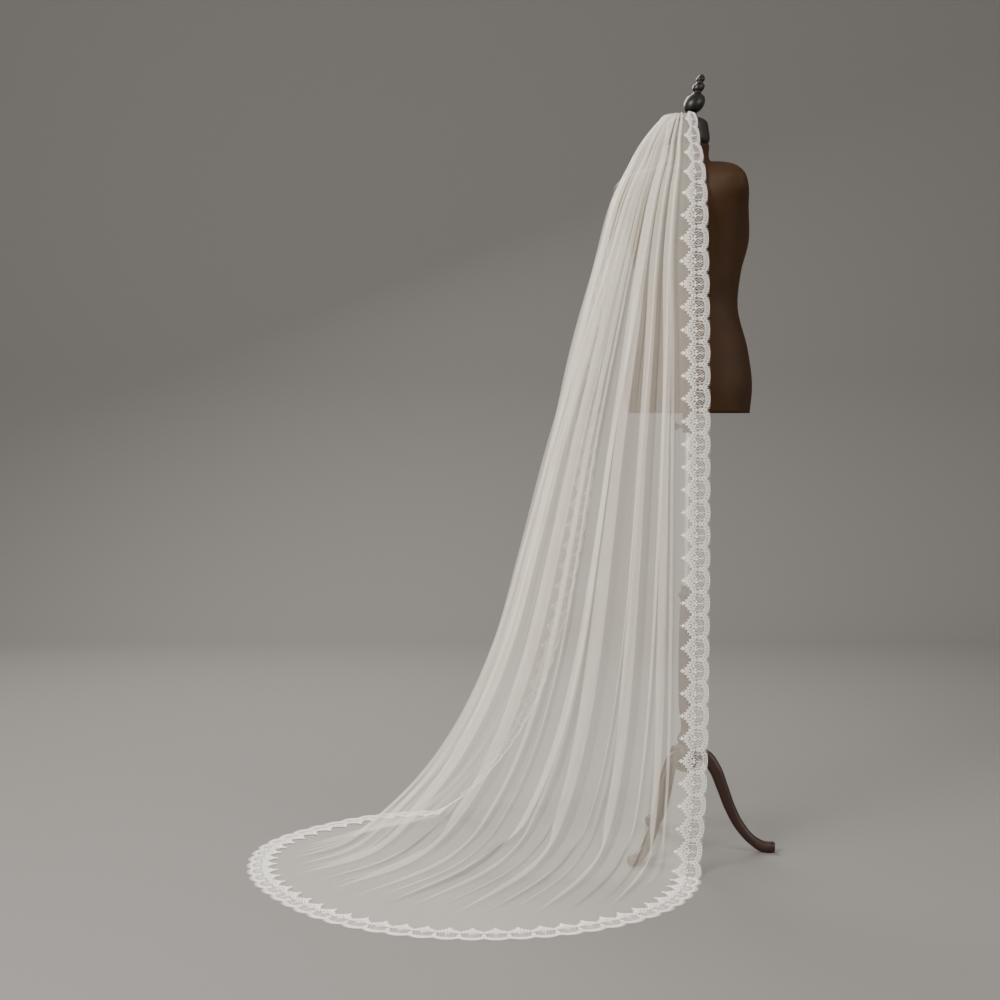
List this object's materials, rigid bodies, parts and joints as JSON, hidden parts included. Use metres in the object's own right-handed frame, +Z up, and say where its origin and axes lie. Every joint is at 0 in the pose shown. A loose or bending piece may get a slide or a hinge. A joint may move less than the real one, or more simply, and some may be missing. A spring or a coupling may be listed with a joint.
{
  "type": "bridal veil on dress form",
  "caption": "Long tulle bridal veil with a scalloped lace border, gathered at the top and swept into a rounded train, resting on a limbless dress form on a leg stand.",
  "frame": {"origin": "under the middle of the whole object's box, on the surface it stands on", "axes": "+Z up; the veil's train sweeps towards -X; -Y is the side that shows the veil's near edge, and the dress form faces between +X and +Y"},
  "size_m": [1.189, 0.949, 1.7603],
  "materials": {
    "tulle": "fine sheer net",
    "lace": "corded lace",
    "torso_cover": "smooth brown cover",
    "dark_wood": "dark polish",
    "brown_wood": "dull varnish",
    "painted_iron": "worn dark paint",
    "steel": "dull"
  },
  "bodies": {
    "root": {"tulle_panel": "tulle", "lace_near_side": "lace", "lace_hem": "lace", "lace_far_side": "lace", "torso": "torso_cover", "neck_cap": "dark_wood", "finial": "dark_wood", "collar": "painted_iron", "thumbscrew": "painted_iron", "pole": "steel", "post": "brown_wood", "leg_right": "brown_wood", "leg_back": "brown_wood", "leg_near": "brown_wood"}
  },
  "joints": []
}
